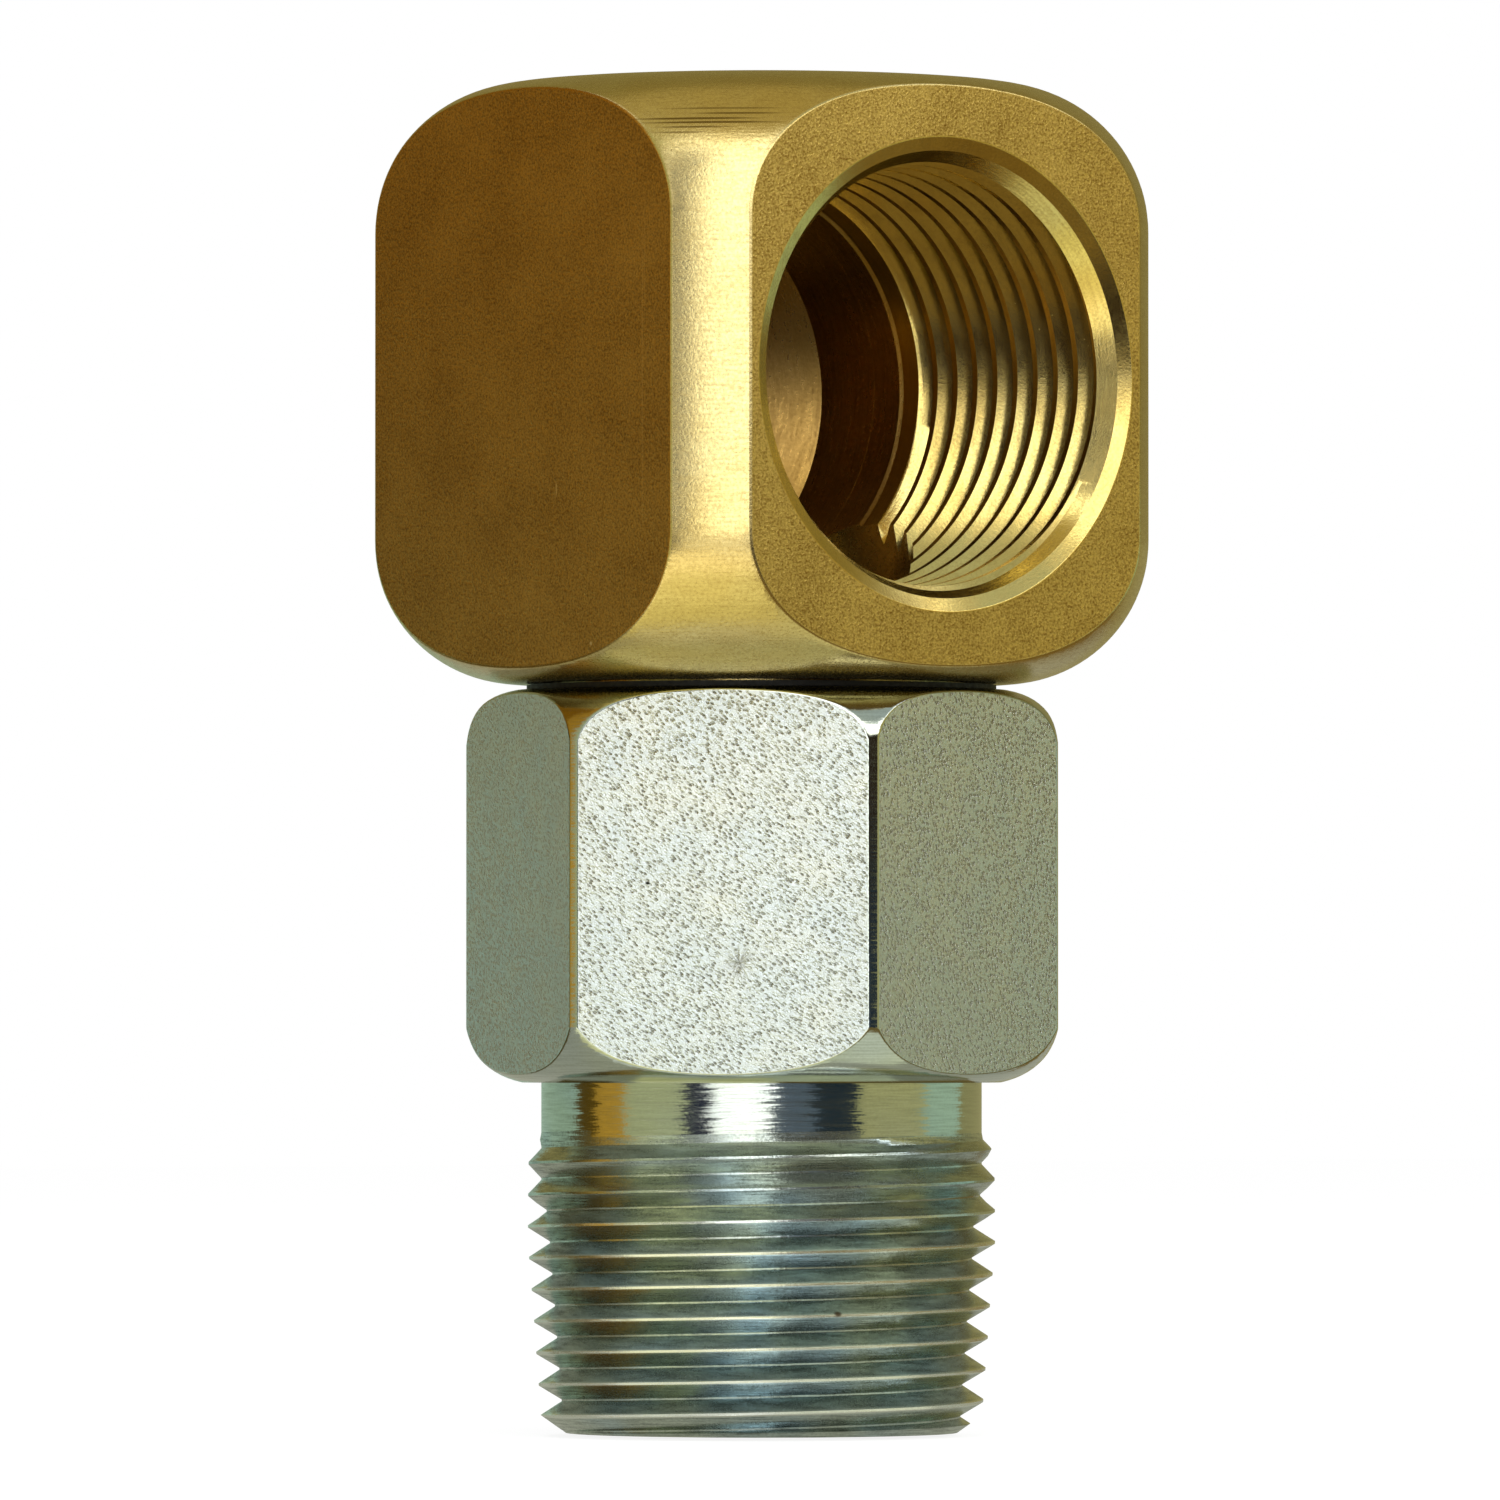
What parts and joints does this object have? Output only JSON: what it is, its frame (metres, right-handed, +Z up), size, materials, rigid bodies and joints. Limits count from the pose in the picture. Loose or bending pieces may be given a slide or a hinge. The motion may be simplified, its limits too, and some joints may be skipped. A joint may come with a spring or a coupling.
{
  "type": "swivel gas connector",
  "caption": "Elbow swivel connector for gas hose: rounded brass head with a female pipe port, turning freely on a plated steel hexagon with a male pipe thread.",
  "frame": {"origin": "centre of the male thread's end face, on the swivel axis", "axes": "+Z up the swivel axis towards the brass head, +X straight out of the female port"},
  "size_m": [0.0344, 0.0344, 0.0774],
  "materials": {
    "machined_brass": "turned and milled, satin",
    "zinc_plated_steel": "zinc plated, clear passivated, semi-bright",
    "bearing_steel": "polished",
    "nitrile_rubber": "moulded, greased",
    "wiper_rubber": "moulded",
    "ptfe": "plain",
    "acetal": "plain"
  },
  "bodies": {
    "stem": {"threaded_stem": "zinc_plated_steel", "ball_plug": "zinc_plated_steel", "thrust_washer": "acetal", "dust_ring": "wiper_rubber"},
    "head": {"swivel_body": "machined_brass", "o_ring_lower": "nitrile_rubber", "o_ring_upper": "nitrile_rubber", "backup_ring_lower": "ptfe", "backup_ring_upper": "ptfe"},
    "ball_row": {"ball_01": "bearing_steel", "ball_02": "bearing_steel", "ball_03": "bearing_steel", "ball_04": "bearing_steel", "ball_05": "bearing_steel", "ball_06": "bearing_steel", "ball_07": "bearing_steel", "ball_08": "bearing_steel", "ball_09": "bearing_steel", "ball_10": "bearing_steel", "ball_11": "bearing_steel", "ball_12": "bearing_steel", "ball_13": "bearing_steel", "ball_14": "bearing_steel", "ball_15": "bearing_steel", "ball_16": "bearing_steel", "ball_17": "bearing_steel", "ball_18": "bearing_steel", "ball_19": "bearing_steel", "ball_20": "bearing_steel", "ball_21": "bearing_steel"}
  },
  "joints": [
    {"name": "head_swivel", "type": "hinge", "parent": "stem", "child": "head", "pos_m": [0, 0, 0.027], "axis": [0, 0, 1], "continuous": true},
    {"name": "ball_row_orbit", "type": "hinge", "parent": "stem", "child": "ball_row", "pos_m": [0, 0, 0.027], "axis": [0, 0, 1], "continuous": true}
  ],
  "couplings": [
    {"joint": "ball_row_orbit", "follows": "head_swivel", "ratio": 0.4485}
  ]
}
